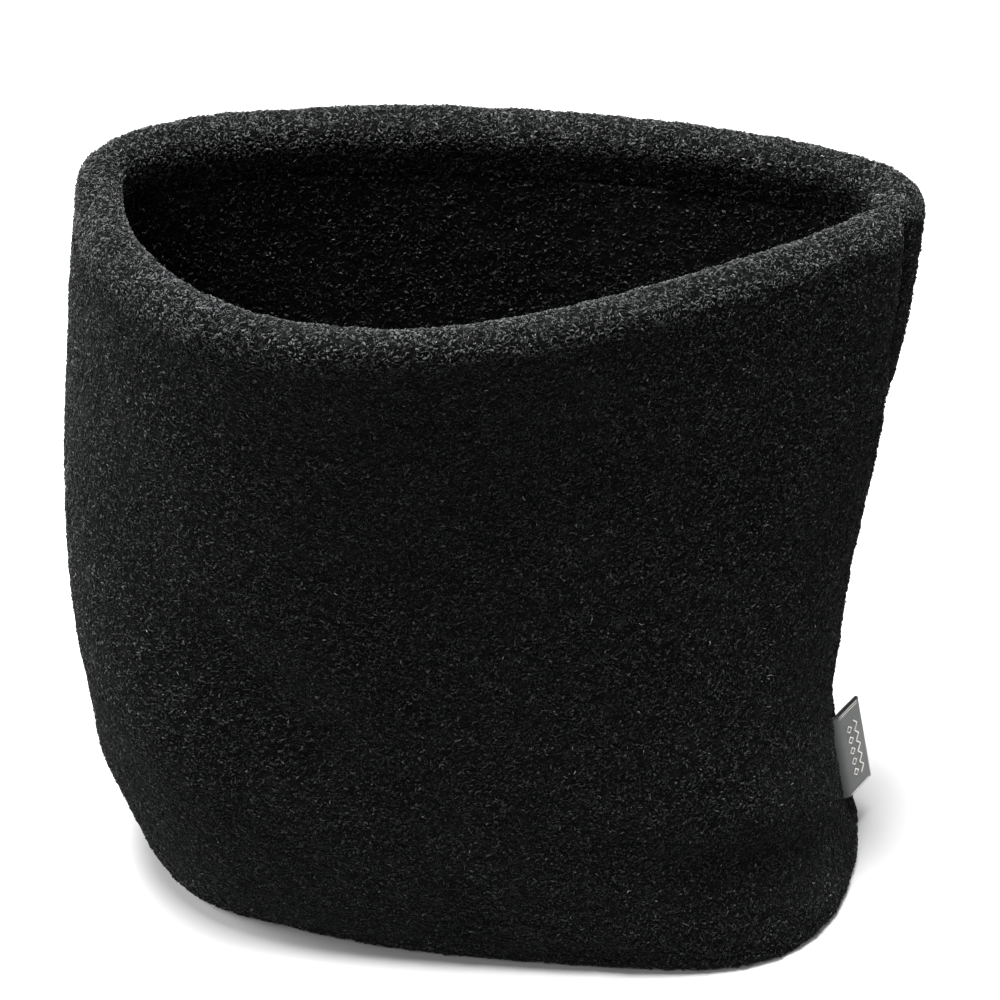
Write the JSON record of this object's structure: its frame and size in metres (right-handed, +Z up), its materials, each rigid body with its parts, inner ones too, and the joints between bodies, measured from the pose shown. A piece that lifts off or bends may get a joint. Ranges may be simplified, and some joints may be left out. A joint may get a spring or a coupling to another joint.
{
  "type": "neck gaiter",
  "caption": "Double-layer fleece neck gaiter standing open on its lower rim, with rolled rims, a side seam and a small folded label in the seam.",
  "frame": {"origin": "middle of the footprint box, on the surface the lower rim stands on", "axes": "+Z up through the neck opening, from the lower rim to the upper one; +X along the wide way of the opening, towards the side seam; +Y from the front wall to the back wall"},
  "size_m": [0.2344, 0.1186, 0.2464],
  "materials": {
    "shell_fleece": "matte napped fleece, black",
    "lining_fleece": "matte napped fleece, black",
    "sewing_thread": "spun polyester thread, black",
    "label_tape": "woven satin tape, charcoal with an off-white woven pattern"
  },
  "bodies": {
    "tube": {"outer_shell": "shell_fleece", "inner_lining": "lining_fleece", "upper_rim_needle_thread": "sewing_thread", "upper_rim_bobbin_thread": "sewing_thread", "lower_rim_needle_thread": "sewing_thread", "lower_rim_bobbin_thread": "sewing_thread", "shell_seam_needle_thread": "sewing_thread", "shell_seam_bobbin_thread": "sewing_thread", "lining_seam_needle_thread": "sewing_thread", "lining_seam_bobbin_thread": "sewing_thread"},
    "label": {"side_label": "label_tape"}
  },
  "joints": [
    {"name": "label_fold", "type": "hinge", "parent": "tube", "child": "label", "pos_m": [0.10663, 0.01505, 0.03538], "axis": [-0.179, 0.0039, 0.9838], "range_deg": [-130, 5], "stiffness_Nm_per_rad": 0.0002}
  ]
}
